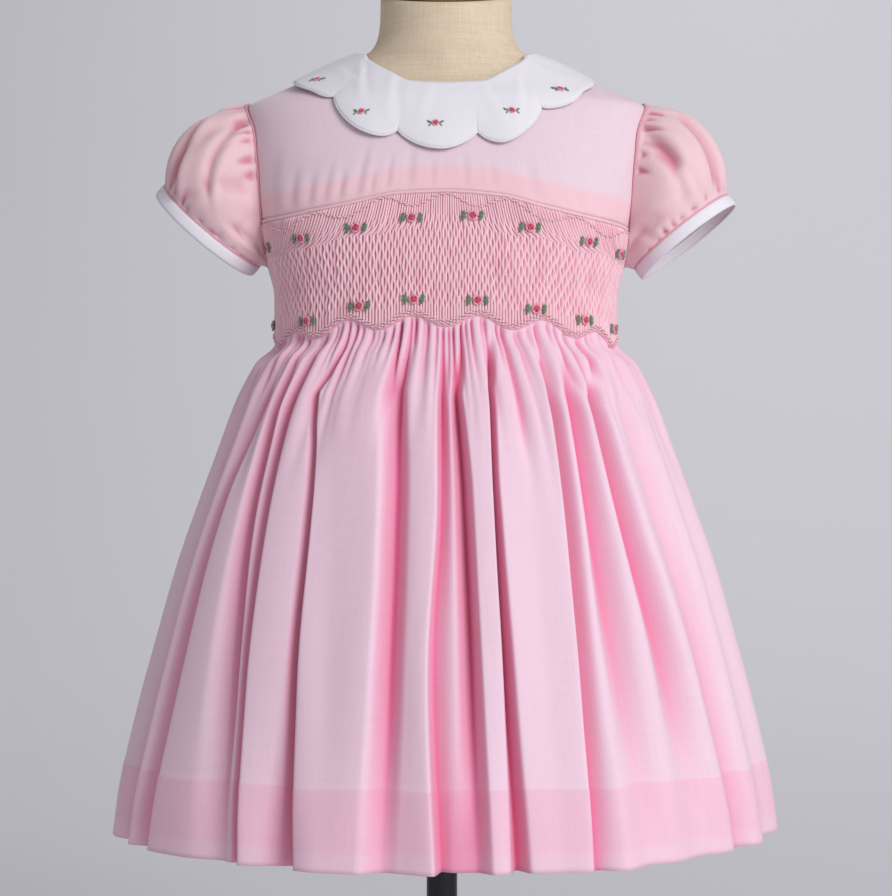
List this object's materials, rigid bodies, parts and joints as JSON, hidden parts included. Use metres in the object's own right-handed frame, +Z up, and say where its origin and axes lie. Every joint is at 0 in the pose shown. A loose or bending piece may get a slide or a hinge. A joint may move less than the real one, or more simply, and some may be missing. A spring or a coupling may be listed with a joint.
{
  "type": "smocked dress on dress form",
  "caption": "Child's short-sleeved dress with a smocked front, scalloped collar and gathered skirt, worn on a limbless dress form with a pole and round base.",
  "frame": {"origin": "on the underside of the stand's base, below the form's axis", "axes": "+Z up, -Y towards the front of the dress, +X towards the wearer's left (the picture's right)"},
  "size_m": [0.4063, 0.3567, 0.752],
  "materials": {
    "pink_batiste": "soft matte woven cotton, slightly sheer",
    "pink_smocking": "gathered cotton with stitching",
    "white_batiste": "pressed white cotton",
    "linen": "stretched linen cover",
    "dark_steel": "satin dark metal",
    "wood": "varnished wood",
    "pearl": "plain pearly button"
  },
  "bodies": {
    "root": {"front_yoke": "pink_batiste", "yoke_piping": "pink_batiste", "smocked_front": "pink_smocking", "back_bodice_left": "pink_batiste", "back_bodice_right": "pink_batiste", "skirt_front": "pink_batiste", "skirt_back": "pink_batiste", "sleeve_left": "pink_batiste", "sleeve_right": "pink_batiste", "cuff_left": "white_batiste", "cuff_right": "white_batiste", "collar": "white_batiste", "button_1": "pearl", "button_2": "pearl", "button_3": "pearl", "button_4": "pearl", "form_torso": "linen", "neck_cap": "wood", "pole": "dark_steel", "base": "dark_steel"}
  },
  "joints": []
}
